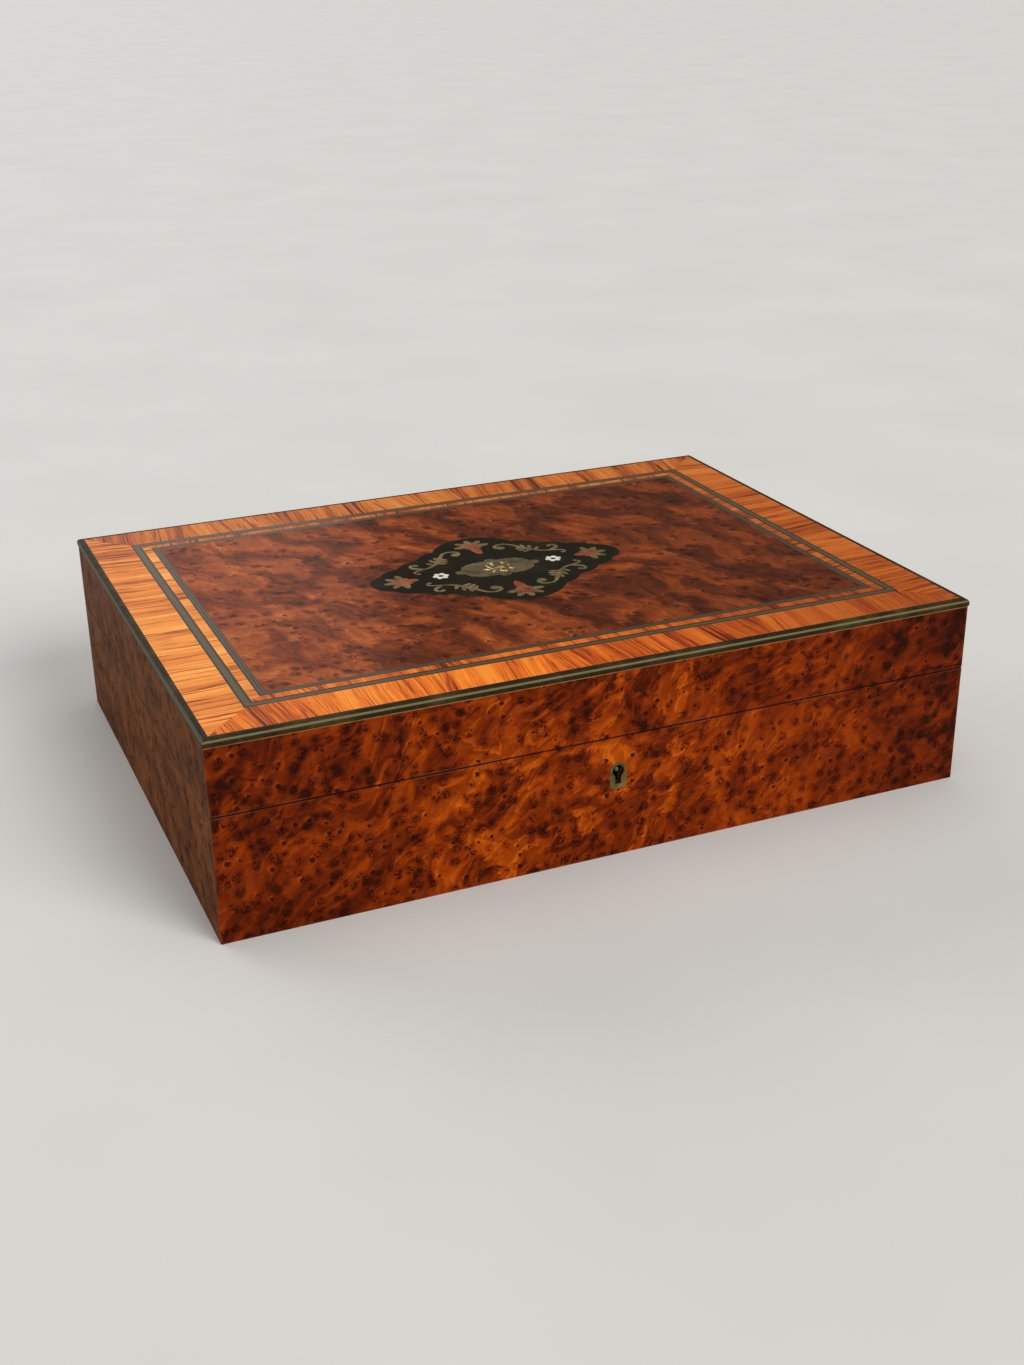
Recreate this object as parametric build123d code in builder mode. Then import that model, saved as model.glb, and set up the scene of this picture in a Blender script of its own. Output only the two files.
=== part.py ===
"""Games box with a hinged lid, veneered outside and fitted out inside. Sizes are in millimetres.

X runs along the front, Y goes from front to back and Z is up. The origin is the middle of the
underside of the carcass. The lid is modelled shut and the lock is modelled open.
"""

import os
from math import cos, hypot, radians, sin, tan

from build123d import *

os.makedirs("parts", exist_ok=True)


# Driving dimensions of the carcass
box_length = 320.0
box_depth = 236.0
box_height = 82.0
base_height = 51.5
board = 10.0
veneer = 1.0
bottom_thickness = 6.0
top_thickness = 7.0
panel_rebate = 4.0
rim_band = 0.8
lining = 0.6
seam_arris = 0.3
glue_line = 0.06

# Lid edge and the banding of its top, each width measured inwards from the one before
bead_width = 2.6
bead_height = 3.2
bead_proud = 0.4
bead_round = 1.7
bead_lower_round = 0.6
under_bead_line = 0.4
crossband_width = 17.7
outer_band_width = 4.0
light_line_width = 3.8
inner_band_width = 3.2
leaves_long_side = 7
leaves_short_side = 5

# Cartouche of the lid
cartouche_tip_x = 58.0
cartouche_tip_y = 41.5
cartouche_cusps = [(51.0, 9.5), (41.0, 16.0), (29.0, 22.8), (19.0, 30.0)]
cartouche_bulge = 1.5
plaque_tip_x = 19.6
plaque_tip_y = 11.3
plaque_cusps = [(15.7, 1.6), (15.3, 4.4), (13.2, 6.8), (9.9, 8.3), (6.4, 8.9), (2.8, 8.8)]
plaque_bulge = 0.5
flower_centre_x = 26.5
flower_petals = 6
petal_ring = 2.35
petal_length = 2.7
petal_width = 2.35
shell_centre_x = 43.8
shell_centre_y = 30.2
shell_rays = 5
shell_ray_length = 8.4
shell_ray_width = 3.3
shell_spread = 176.0
shell_heart = 3.4
leaf_width = 4.6
leaf_out = 4.6
leaf_in_x = 7.0
leaf_in_y = 11.2
leaf_lobe_width = 2.6
leaf_lobe_turns = [-128, -42, 42, 128]

# Lock, let into the front board
lock_length = 64.0
lock_drop = 23.5
lock_plate = 1.5
case_length = 52.0
case_drop = 22.5
case_depth = 6.1
case_wall = 1.0
keyhole_height = 36.8
keyhole_head = 4.9
keyhole_slot = 2.6
keyhole_drop = 5.55
escutcheon_width = 7.2
escutcheon_drop = 7.5
escutcheon_corner = 1.4
escutcheon_depth = 1.6
keyway_margin = 0.4
drill_pin_radius = 1.0
drill_pin_end = 1.4
staple_centre = 13.0
staple_thickness = 2.0
staple_bar = 1.0
staple_span = 4.1
staple_drop = 6.4
staple_round = 0.8
slot_clearance = 0.4
bolt_thickness = 1.5
bolt_width = 3.6
bolt_throw = 6.0
bolt_gap = 0.3
bolt_left_end = 23.6
bolt_right_end = 14.0
hook_post = 2.6
hook_length = 6.2
hook_height = 2.4
hook_gap = 0.8
hook_lift = 0.5
stud_radius = 0.8
stud_collar_radius = 1.6
stud_clearance = 0.05
stud_centres = [-12.0, 11.0]
talon_width = 2.2
talon_depth = 1.2
spring_strip = 0.5
spring_lean = 0.12
spring_foot = (3.4, 1.2)
spring_rise = 4.0
spring_reach = 2.5
spring_eye = 0.8
spring_height = 3.0

# Hinges, let into the back boards
hinge_centre = 95.0
hinge_length = 50.0
hinge_segments = 5
hinge_leaf = 1.3
hinge_leaf_width = 10.7
hinge_setback = 0.5
knuckle_radius = 2.3
knuckle_clearance = 0.3
knuckle_gap = 0.1
pin_radius = 1.1
pin_clearance = 0.05
stop_bevel = 50.0

# Screws
screw_head = 2.1
screw_shank = 1.1
screw_head_depth = 1.0
screw_length = 7.5
screw_point = 1.8
screw_slot = 0.5
hinge_screw_pitch = 17.0

# Inside
divider = 4.0
divider_height = 37.5
divider_centre = 49.0
card_divider = 3.0
card_divider_centre = 36.0
divider_round = 0.6
finger_dip_radius = 13.0
finger_dip_drop = 9.0
counter_box_clearance = 0.7
tray_height = 34.0
tray_wall = 3.0
tray_lid = 3.2
tray_lid_rim = 2.2
tray_lid_gap = 0.3
tray_edge_round = 0.8


# Planes and faces that several pieces share
half_x = box_length / 2
half_y = box_depth / 2
board_x = half_x - veneer
board_y = half_y - veneer
cavity_x = board_x - board
cavity_y = board_y - board
room_x = cavity_x - lining
room_y = cavity_y - lining
panel_x = cavity_x + panel_rebate
panel_y = cavity_y + panel_rebate
seam = base_height
board_top = seam - rim_band
lid_board_bottom = seam + rim_band
marquetry_bottom = box_height - veneer
top_underside = marquetry_bottom - top_thickness
bead_bottom = box_height - bead_height
line_bottom = bead_bottom - under_bead_line
floor = bottom_thickness + lining
beyond = 5.0

hinge_y = half_y + hinge_setback
hinge_pitch = hinge_length / hinge_segments
leaf_front = hinge_y - hinge_leaf_width
knuckle_recess = knuckle_radius + knuckle_clearance
hinge_centres = [-hinge_centre, hinge_centre]

plate_front = -cavity_y - lock_plate
case_front = plate_front - case_depth
lock_bottom = seam - lock_drop
case_bottom = seam - case_drop
staple_bottom = seam - staple_drop
bolt_y = (case_front + case_wall + plate_front) / 2
bolt_top = staple_bottom - bolt_gap
bolt_bottom = bolt_top - bolt_width
hook_bottom = staple_bottom + staple_bar + hook_lift
lock_mid_y = (case_front - cavity_y) / 2

insets = [bead_width]
for width in (crossband_width, outer_band_width, light_line_width, inner_band_width):
    insets.append(insets[-1] + width)
crossband_inset, outer_band_inset, light_line_inset, inner_band_inset, field_inset = insets

sides = ["front", "right", "back", "left"]


def save(piece, name):
    """Labels a finished piece and writes it as its own file."""
    piece.part.label = name
    export_step(piece.part, f"parts/{name}.step")


def block(x_span, y_span, z_span, mode=Mode.ADD):
    """Adds or cuts a rectangular block between pairs of limits, in the part being built."""
    spans = [sorted(span) for span in (x_span, y_span, z_span)]
    centre = [(low + high) / 2 for low, high in spans]
    size = [high - low for low, high in spans]
    with Locations(tuple(centre)):
        Box(*size, mode=mode)


def rod(centre, radius, length, axis, mode=Mode.ADD):
    """Adds or cuts a round rod centred on a point and lying along X or Y."""
    turn = (0, 90, 0) if axis == "X" else (90, 0, 0)
    with Locations(Location(centre, turn)):
        Cylinder(radius, length, mode=mode)


def mitred_face(side, outer, inner, height):
    """One side of a mitred frame between two rectangles, as a flat face at a height."""
    (outer_x, outer_y), (inner_x, inner_y) = outer, inner
    if side in ("front", "back"):
        ends = [(outer_x - glue_line, outer_y), (inner_x - glue_line, inner_y)]
    else:
        ends = [(outer_x, outer_y - glue_line), (inner_x, inner_y - glue_line)]
    (far_x, far_y), (near_x, near_y) = ends
    signs = {
        "front": [(-1, -1), (1, -1)],
        "right": [(1, -1), (1, 1)],
        "back": [(1, 1), (-1, 1)],
        "left": [(-1, 1), (-1, -1)],
    }[side]
    corners = [(x * far_x, y * far_y) for x, y in signs]
    corners += [(x * near_x, y * near_y) for x, y in reversed(signs)]
    with BuildSketch(Plane.XY.offset(height)) as strip:
        Polygon(*corners, align=None)
    return strip.sketch


def inset_rectangle(inset):
    """Half length and half depth of the lid's top at an inset from its edges."""
    return half_x - inset, half_y - inset


def scalloped_face(tip_x, tip_y, cusps, bulge):
    """A face with four tips, whose edges bulge outwards between the cusps of each quarter."""
    quarters = [
        cusps,
        [(-x, y) for x, y in reversed(cusps)],
        [(-x, -y) for x, y in cusps],
        [(x, -y) for x, y in reversed(cusps)],
    ]
    tips = [(0, tip_y), (-tip_x, 0), (0, -tip_y), (tip_x, 0)]
    with BuildSketch() as face:
        with BuildLine():
            for index, quarter in enumerate(quarters):
                for (x0, y0), (x1, y1) in zip(quarter, quarter[1:]):
                    chord = hypot(x1 - x0, y1 - y0)
                    middle = (
                        (x0 + x1) / 2 + bulge * (y1 - y0) / chord,
                        (y0 + y1) / 2 - bulge * (x1 - x0) / chord,
                    )
                    ThreePointArc((x0, y0), middle, (x1, y1))
                following = quarters[(index + 1) % len(quarters)]
                ThreePointArc(quarter[-1], tips[index], following[0])
        make_face()
    return face.sketch


def ribbon_face(points, widths):
    """A band of changing width along a smooth line through the points."""
    with BuildLine():
        spine = Spline(*points)
    left, right = [], []
    for index, width in enumerate(widths):
        share = index / (len(widths) - 1)
        point = spine @ share
        tangent = spine % share
        normal = Vector(-tangent.Y, tangent.X) * (width / 2)
        left.append(point + normal)
        right.append(point - normal)
    with BuildSketch() as band:
        with BuildLine():
            Spline(*left)
            Line(left[-1], right[-1])
            Spline(*reversed(right))
            Line(right[0], left[0])
        make_face()
    return band.sketch


def petal(centre, length, width, angle):
    """Adds a petal to the sketch being drawn: a slim ellipse that starts at the centre."""
    reach = length / 2
    middle = (centre[0] + reach * cos(radians(angle)), centre[1] + reach * sin(radians(angle)))
    with Locations(Location((*middle, 0), (0, 0, angle))):
        Ellipse(length / 2, width / 2)


def ring_cut(inner, z_span):
    """Cuts away everything outside a rectangle, over a span of height."""
    inner_x, inner_y = inner
    wide_x = half_x + beyond
    wide_y = half_y + beyond
    block((-wide_x, wide_x), (-wide_y, -inner_y), z_span, Mode.SUBTRACT)
    block((-wide_x, wide_x), (inner_y, wide_y), z_span, Mode.SUBTRACT)
    block((-wide_x, -inner_x), (-wide_y, wide_y), z_span, Mode.SUBTRACT)
    block((inner_x, wide_x), (-wide_y, wide_y), z_span, Mode.SUBTRACT)


# Screws: one blank fills its hole exactly, and the finished screw has a slot as well
with BuildPart() as screw_blank:
    with BuildSketch(Plane.XZ):
        Polygon(
            (0, 0),
            (screw_head, 0),
            (screw_shank, -screw_head_depth),
            (screw_shank, screw_point - screw_length),
            (0, -screw_length),
            align=None,
        )
    revolve(axis=Axis.Z)

with BuildPart() as screw:
    add(screw_blank.part)
    block(
        (-screw_head, screw_head),
        (-screw_slot / 2, screw_slot / 2),
        (-screw_slot, screw_slot),
        Mode.SUBTRACT,
    )

screw_x = (case_length + lock_length) / 4
lock_screw_places = [
    Location((side * screw_x, lock_mid_y - lock_plate / 2, seam)) for side in (-1, 1)
] + [
    Location((side * screw_x, -cavity_y, lock_bottom + lock_drop / 4), (-90, 0, 0))
    for side in (-1, 1)
]
link_screw_places = [
    Location((side * screw_x, lock_mid_y - lock_plate / 2, seam), (180, 0, 0))
    for side in (-1, 1)
]
hinge_screw_y = (leaf_front + hinge_y - knuckle_recess) / 2
hinge_screw_xs = [
    centre + step * hinge_screw_pitch for centre in hinge_centres for step in (-1, 0, 1)
]
lower_hinge_screw_places = [Location((x, hinge_screw_y, seam)) for x in hinge_screw_xs]
upper_hinge_screw_places = [
    Location((x, hinge_screw_y, seam), (180, 0, 0)) for x in hinge_screw_xs
]


def cut_screw_holes(places):
    """Cuts the holes that a set of screws fills."""
    for place in places:
        add(screw_blank.part.moved(place), mode=Mode.SUBTRACT)


def cut_hinge_seats(direction):
    """Cuts the leaf and knuckle seats of both hinges, below the seam with -1 or above with 1."""
    for centre in hinge_centres:
        block(
            (centre - hinge_length / 2, centre + hinge_length / 2),
            (leaf_front, half_y + beyond),
            (seam, seam + direction * hinge_leaf),
            Mode.SUBTRACT,
        )
        barrel = hinge_pitch * (hinge_segments - 2) + 2 * knuckle_clearance
        rod((centre, hinge_y, seam), knuckle_recess, barrel, "X", Mode.SUBTRACT)


def cut_lock_seat():
    """Cuts the mortise of the lock's case and the seats of its two plates."""
    half_lock = lock_length / 2
    half_case = case_length / 2
    block((-half_case, half_case), (case_front, -cavity_y), (case_bottom, seam), Mode.SUBTRACT)
    block((-half_lock, half_lock), (plate_front, -room_y), (lock_bottom, seam), Mode.SUBTRACT)
    block(
        (-half_lock, half_lock),
        (case_front, -cavity_y),
        (seam - lock_plate, seam),
        Mode.SUBTRACT,
    )


def cut_link_seat():
    """Cuts the seat of the lid's link plate."""
    half_lock = lock_length / 2
    block(
        (-half_lock, half_lock),
        (case_front, plate_front),
        (seam, seam + lock_plate),
        Mode.SUBTRACT,
    )


def keyhole_plane(y):
    """An upright plane facing the front, centred on the round head of the keyhole."""
    return Plane(origin=(0, y, keyhole_height), x_dir=(1, 0, 0), z_dir=(0, -1, 0))


def draw_keyhole(margin=0.0):
    """Draws the keyhole in the sketch being built, larger by a margin all round."""
    Circle(keyhole_head / 2 + margin)
    with Locations((0, -keyhole_drop / 2)):
        Rectangle(keyhole_slot + 2 * margin, keyhole_drop + 2 * margin)


def draw_escutcheon():
    """Draws the outline of the keyhole plate: round at the top and squarer at the foot."""
    Circle(escutcheon_width / 2)
    with Locations((0, -escutcheon_drop / 2)):
        Rectangle(escutcheon_width, escutcheon_drop)


def upright_board(side, z_span):
    """Adds the carcass board of one side: long ones at front and back, short ones between."""
    if side == "front":
        block((-board_x, board_x), (-board_y, -cavity_y), z_span)
    if side == "back":
        block((-board_x, board_x), (cavity_y, board_y), z_span)
    if side == "left":
        block((-board_x, -cavity_x), (-cavity_y, cavity_y), z_span)
    if side == "right":
        block((cavity_x, board_x), (-cavity_y, cavity_y), z_span)


def side_veneer(side, z_span):
    """Adds the veneer of one side, whose long sheets cover the edges of the short ones."""
    if side == "front":
        block((-half_x, half_x), (-half_y, -board_y), z_span)
    if side == "back":
        block((-half_x, half_x), (board_y, half_y), z_span)
    if side == "left":
        block((-half_x, -board_x), (-board_y, board_y), z_span)
    if side == "right":
        block((board_x, half_x), (-board_y, board_y), z_span)


def outer_edges(edges, height):
    """The edges that lie at a height on the outermost faces of the box."""
    chosen = []
    for edge in edges:
        middle = edge.center()
        outermost = max(abs(middle.X) - half_x, abs(middle.Y) - half_y)
        if abs(middle.Z - height) < 0.01 and outermost > -0.01:
            chosen.append(edge)
    return chosen


# Base carcass: four boards round a bottom panel that is let into their rebates
with BuildPart() as base_bottom_panel:
    block((-panel_x, panel_x), (-panel_y, panel_y), (0, bottom_thickness))
save(base_bottom_panel, "base_bottom_panel")

with BuildPart() as base_front_board:
    upright_board("front", (0, board_top))
    add(base_bottom_panel.part, mode=Mode.SUBTRACT)
    cut_lock_seat()
    cut_screw_holes(lock_screw_places)
    with BuildSketch(keyhole_plane(case_front)):
        draw_keyhole(keyway_margin)
    extrude(amount=board, mode=Mode.SUBTRACT)
    with BuildSketch(keyhole_plane(-half_y + escutcheon_depth)) as escutcheon_seat:
        draw_escutcheon()
        fillet(escutcheon_seat.vertices().group_by(Axis.Y)[0], escutcheon_corner)
    extrude(amount=escutcheon_depth, mode=Mode.SUBTRACT)
save(base_front_board, "base_front_board")

with BuildPart() as base_back_board:
    upright_board("back", (0, board_top))
    add(base_bottom_panel.part, mode=Mode.SUBTRACT)
    cut_hinge_seats(-1)
    cut_screw_holes(lower_hinge_screw_places)
save(base_back_board, "base_back_board")

for side in ("left", "right"):
    with BuildPart() as base_side_board:
        upright_board(side, (0, board_top))
        add(base_bottom_panel.part, mode=Mode.SUBTRACT)
    save(base_side_board, f"base_{side}_board")

# Base veneers
with BuildPart() as base_front_veneer:
    side_veneer("front", (0, seam))
    with BuildSketch(keyhole_plane(-board_y)) as veneer_cut:
        draw_escutcheon()
        fillet(veneer_cut.vertices().group_by(Axis.Y)[0], escutcheon_corner)
    extrude(amount=veneer, mode=Mode.SUBTRACT)
    chamfer(outer_edges(base_front_veneer.edges(), seam), seam_arris)
save(base_front_veneer, "base_front_veneer")

with BuildPart() as base_back_veneer:
    side_veneer("back", (0, seam))
    chamfer(outer_edges(base_back_veneer.edges(), seam), seam_arris)
    cut_hinge_seats(-1)
save(base_back_veneer, "base_back_veneer")

for side in ("left", "right"):
    with BuildPart() as base_side_veneer:
        side_veneer(side, (0, seam))
        chamfer(outer_edges(base_side_veneer.edges(), seam), seam_arris)
    save(base_side_veneer, f"base_{side}_veneer")

# Banding that covers the top edges of the base, mitred at the corners
with BuildPart() as base_rim_banding:
    for side in sides:
        extrude(mitred_face(side, (board_x, board_y), (room_x, room_y), board_top), rim_band)
    cut_lock_seat()
    cut_hinge_seats(-1)
    cut_screw_holes(lower_hinge_screw_places)
save(base_rim_banding, "base_rim_banding")

# Lining of the base: floor and walls, cut round the lock
with BuildPart() as base_lining:
    block((-cavity_x, cavity_x), (-cavity_y, cavity_y), (bottom_thickness, board_top))
    block((-room_x, room_x), (-room_y, room_y), (floor, board_top), Mode.SUBTRACT)
    cut_lock_seat()
save(base_lining, "base_lining")

# Keyhole plate, let into the veneer
with BuildPart() as keyhole_escutcheon:
    with BuildSketch(keyhole_plane(-half_y + escutcheon_depth)) as outline:
        draw_escutcheon()
        fillet(outline.vertices().group_by(Axis.Y)[0], escutcheon_corner)
    extrude(amount=escutcheon_depth)
    with BuildSketch(keyhole_plane(-half_y + escutcheon_depth)):
        draw_keyhole()
    extrude(amount=escutcheon_depth, mode=Mode.SUBTRACT)
save(keyhole_escutcheon, "keyhole_escutcheon")

# Lock: an L-shaped plate, a case, two studs that guide the bolt, and the drill pin for the key
half_lock = lock_length / 2
half_case = case_length / 2
slot_x = staple_thickness / 2 + slot_clearance
slot_y = staple_span / 2 + slot_clearance

with BuildPart() as lock_plate_piece:
    block((-half_lock, half_lock), (plate_front, -cavity_y), (lock_bottom, seam))
    block((-half_lock, half_lock), (case_front, -cavity_y), (seam - lock_plate, seam))
    for centre in (-staple_centre, staple_centre):
        block(
            (centre - slot_x, centre + slot_x),
            (bolt_y - slot_y, bolt_y + slot_y),
            (seam - lock_plate, seam),
            Mode.SUBTRACT,
        )
    cut_screw_holes(lock_screw_places)
save(lock_plate_piece, "lock_plate")

stud_height = (bolt_bottom + bolt_top) / 2
bolt_back = bolt_y + bolt_thickness / 2
bolt_front = bolt_y - bolt_thickness / 2
with BuildPart() as lock_case:
    block(
        (-half_case, half_case),
        (case_front, plate_front),
        (case_bottom, seam - lock_plate),
    )
    block(
        (case_wall - half_case, half_case - case_wall),
        (case_front + case_wall, plate_front),
        (case_bottom + case_wall, seam - lock_plate),
        Mode.SUBTRACT,
    )
    with BuildSketch(keyhole_plane(case_front + case_wall)):
        draw_keyhole()
    extrude(amount=case_wall, mode=Mode.SUBTRACT)
save(lock_case, "lock_case")

with BuildPart() as lock_studs:
    for centre in stud_centres:
        collar = plate_front - bolt_back - stud_clearance
        rod((centre, plate_front - collar / 2, stud_height), stud_collar_radius, collar, "Y")
        pin = plate_front - case_front - case_wall
        rod((centre, plate_front - pin / 2, stud_height), stud_radius, pin, "Y")
save(lock_studs, "lock_studs")

with BuildPart() as lock_drill_pin:
    pin = half_y + plate_front - drill_pin_end
    rod((0, plate_front - pin / 2, keyhole_height), drill_pin_radius, pin, "Y")
    chamfer(lock_drill_pin.edges().sort_by(Axis.Y)[0], drill_pin_radius / 3)
save(lock_drill_pin, "lock_drill_pin")

# Bolt: a plate with two hooks that pass through the staples of the lid
with BuildPart() as lock_bolt:
    block((-bolt_left_end, bolt_right_end), (bolt_front, bolt_back), (bolt_bottom, bolt_top))
    for centre in (-staple_centre, staple_centre):
        hook_tip = centre - staple_thickness / 2 - hook_gap
        post_left = hook_tip - hook_length - hook_post
        hook_top = hook_bottom + hook_height
        block((post_left, post_left + hook_post), (bolt_front, bolt_back), (bolt_top, hook_top))
        block((post_left, hook_tip), (bolt_front, bolt_back), (hook_bottom, hook_top))
    talon_centre = -bolt_throw / 2
    block(
        (talon_centre - talon_width / 2, talon_centre + talon_width / 2),
        (bolt_front, bolt_back),
        (bolt_bottom, bolt_bottom + talon_depth),
        Mode.SUBTRACT,
    )
    for centre in stud_centres:
        slot_radius = stud_radius + stud_clearance
        block(
            (centre - bolt_throw, centre),
            (bolt_front, bolt_back),
            (stud_height - slot_radius, stud_height + slot_radius),
            Mode.SUBTRACT,
        )
        for end in (centre - bolt_throw, centre):
            rod((end, bolt_y, stud_height), slot_radius, bolt_thickness, "Y", Mode.SUBTRACT)
save(lock_bolt, "lock_bolt")

# Leaf spring under the bolt, bent from a strip and held at its lower end against the plate
foot_x = case_wall - half_case + spring_foot[0]
spring_points = [
    (foot_x, case_bottom + case_wall + spring_foot[1]),
    (foot_x + spring_rise, (case_bottom + bolt_bottom) / 2),
    (stud_centres[0] + spring_reach, bolt_bottom - spring_strip / 2 - spring_lean),
]
with BuildPart() as lock_spring:
    with BuildSketch(Plane(origin=(0, plate_front, 0), x_dir=(1, 0, 0), z_dir=(0, -1, 0))):
        add(ribbon_face(spring_points, [spring_strip] * 5))
        with Locations(spring_points[0]):
            Circle(spring_eye)
    extrude(amount=spring_height)
save(lock_spring, "lock_spring")

# Hinges: each leaf has a plate, its own knuckles, and bevelled stop ears at both ends
lower_knuckles = [1, 3]
upper_knuckles = [2]
ear_segments = [0, 4]


def add_leaf(centre, direction, knuckles):
    """Adds one hinge leaf, below the seam with direction -1 or above it with 1."""
    start = centre - hinge_length / 2
    far = seam + direction * hinge_leaf
    block(
        (start, start + hinge_length),
        (leaf_front, hinge_y - knuckle_recess),
        (seam, far),
    )
    for segment in knuckles:
        low = start + segment * hinge_pitch + knuckle_gap
        high = start + (segment + 1) * hinge_pitch - knuckle_gap
        block((low, high), (hinge_y - knuckle_recess, hinge_y), (seam, far))
        rod(((low + high) / 2, hinge_y, seam), knuckle_radius, high - low, "X")
        bore = pin_radius + pin_clearance
        rod(((low + high) / 2, hinge_y, seam), bore, high - low, "X", Mode.SUBTRACT)


def ear_profile(direction):
    """Draws the section of a stop ear, which ends in a bevel that starts at the hinge line."""
    far = seam + direction * hinge_leaf
    Polygon(
        (hinge_y - knuckle_recess, seam),
        (hinge_y, seam),
        (hinge_y + hinge_leaf / tan(radians(stop_bevel)), far),
        (hinge_y - knuckle_recess, far),
        align=None,
    )


def make_leaves(direction, knuckles):
    """Both leaves of one side of the seam, as one part of two solids."""
    with BuildPart() as leaves:
        for centre in hinge_centres:
            add_leaf(centre, direction, knuckles)
            for segment in ear_segments:
                low = centre - hinge_length / 2 + segment * hinge_pitch
                inner_gap = knuckle_gap if segment == 0 else 0
                outer_gap = 0 if segment == 0 else knuckle_gap
                with BuildSketch(Plane.YZ.offset(low + outer_gap)):
                    ear_profile(direction)
                extrude(amount=hinge_pitch - inner_gap - outer_gap)
    return leaves


hinge_lower_leaves = make_leaves(-1, lower_knuckles)
with BuildPart() as drilled_lower_leaves:
    add(hinge_lower_leaves.part)
    cut_screw_holes(lower_hinge_screw_places)
save(drilled_lower_leaves, "hinge_lower_leaves")

hinge_upper_leaves = make_leaves(1, upper_knuckles)
with BuildPart() as drilled_upper_leaves:
    add(hinge_upper_leaves.part)
    cut_screw_holes(upper_hinge_screw_places)
save(drilled_upper_leaves, "hinge_upper_leaves")

with BuildPart() as hinge_pins:
    for centre in hinge_centres:
        pin = hinge_pitch * (hinge_segments - 2) - 2 * knuckle_gap
        rod((centre, hinge_y, seam), pin_radius, pin, "X")
    chamfer(hinge_pins.edges().filter_by(GeomType.CIRCLE), pin_radius / 4)
save(hinge_pins, "hinge_pins")

# Screws of the lock and hinges, one group for each half of the box
with BuildPart() as base_screws:
    for place in lock_screw_places + lower_hinge_screw_places:
        add(screw.part.moved(place))
save(base_screws, "base_screws")

with BuildPart() as lid_screws:
    for place in link_screw_places + upper_hinge_screw_places:
        add(screw.part.moved(place))
save(lid_screws, "lid_screws")

# Dividers inside the base
divider_top = floor + divider_height


def finger_dip(centre, depth):
    """Cuts a round dip for the fingers into the top of a divider that lies along X."""
    x, y = centre
    middle = (x, y, divider_top + finger_dip_radius - finger_dip_drop)
    rod(middle, finger_dip_radius, depth, "Y", Mode.SUBTRACT)


def ease_top(divider_part, axis):
    """Rounds the long top edges of the dividers being built, which lie along an axis."""
    fillet(divider_part.edges().filter_by(axis).group_by(Axis.Z)[-1], divider_round)


with BuildPart() as long_dividers:
    for side in (-1, 1):
        centre = side * divider_centre
        block(
            (centre - divider / 2, centre + divider / 2),
            (-room_y, room_y),
            (floor, divider_top),
        )
    ease_top(long_dividers, Axis.Y)
save(long_dividers, "long_dividers")

cell_inner = divider_centre + divider / 2
with BuildPart() as cross_dividers:
    for side in (-1, 1):
        block(
            (side * cell_inner, side * room_x),
            (-divider / 2, divider / 2),
            (floor, divider_top),
        )
    ease_top(cross_dividers, Axis.X)
    for side in (-1, 1):
        finger_dip((side * (cell_inner + room_x) / 2, 0), divider)
save(cross_dividers, "cross_dividers")

well_half = divider_centre - divider / 2
with BuildPart() as card_dividers:
    for side in (-1, 1):
        centre = side * card_divider_centre
        block(
            (-well_half, well_half),
            (centre - card_divider / 2, centre + card_divider / 2),
            (floor, divider_top),
        )
    ease_top(card_dividers, Axis.X)
    for side in (-1, 1):
        finger_dip((0, side * card_divider_centre), card_divider)
save(card_dividers, "card_dividers")

# Four counter boxes, each a tray with a lift-off lid that locates inside its walls
cell_x = (cell_inner + room_x) / 2
cell_y = (divider / 2 + room_y) / 2
box_half_x = (room_x - cell_inner) / 2 - counter_box_clearance
box_half_y = (room_y - divider / 2) / 2 - counter_box_clearance
tray_top = floor + tray_height
counter_boxes = {
    "front_left": (-cell_x, -cell_y),
    "front_right": (cell_x, -cell_y),
    "back_left": (-cell_x, cell_y),
    "back_right": (cell_x, cell_y),
}


def centred_block(centre, half_size, z_span, mode=Mode.ADD):
    """Adds or cuts a block given by the centre and half sizes of its plan."""
    x, y = centre
    half_width, half_depth = half_size
    block((x - half_width, x + half_width), (y - half_depth, y + half_depth), z_span, mode)


for place, centre in counter_boxes.items():
    hollow = (box_half_x - tray_wall, box_half_y - tray_wall)
    with BuildPart() as tray:
        centred_block(centre, (box_half_x, box_half_y), (floor, tray_top))
        centred_block(centre, hollow, (floor + tray_wall, tray_top), Mode.SUBTRACT)
    save(tray, f"counter_box_{place}_tray")

    rim = (hollow[0] - tray_lid_gap, hollow[1] - tray_lid_gap)
    rim_hollow = (rim[0] - tray_wall, rim[1] - tray_wall)
    with BuildPart() as tray_cover:
        centred_block(centre, (box_half_x, box_half_y), (tray_top, tray_top + tray_lid))
        fillet(tray_cover.edges().group_by(Axis.Z)[-1], tray_edge_round)
        centred_block(centre, rim, (tray_top - tray_lid_rim, tray_top))
        centred_block(centre, rim_hollow, (tray_top - tray_lid_rim, tray_top), Mode.SUBTRACT)
    save(tray_cover, f"counter_box_{place}_lid")

# Lid carcass: four rails round a top panel, rebated for the bead along the top edge
with BuildPart() as lid_top_panel:
    block((-panel_x, panel_x), (-panel_y, panel_y), (top_underside, marquetry_bottom))
save(lid_top_panel, "lid_top_panel")

for side in sides:
    with BuildPart() as lid_rail:
        upright_board(side, (lid_board_bottom, marquetry_bottom))
        add(lid_top_panel.part, mode=Mode.SUBTRACT)
        ring_cut(inset_rectangle(bead_width), (bead_bottom, box_height))
        if side == "front":
            cut_link_seat()
            cut_screw_holes(link_screw_places)
        if side == "back":
            cut_hinge_seats(1)
            cut_screw_holes(upper_hinge_screw_places)
    save(lid_rail, f"lid_{side}_rail")

for side in sides:
    with BuildPart() as lid_veneer:
        side_veneer(side, (seam, line_bottom))
        chamfer(outer_edges(lid_veneer.edges(), seam), seam_arris)
        if side == "back":
            cut_hinge_seats(1)
    save(lid_veneer, f"lid_{side}_veneer")

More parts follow.
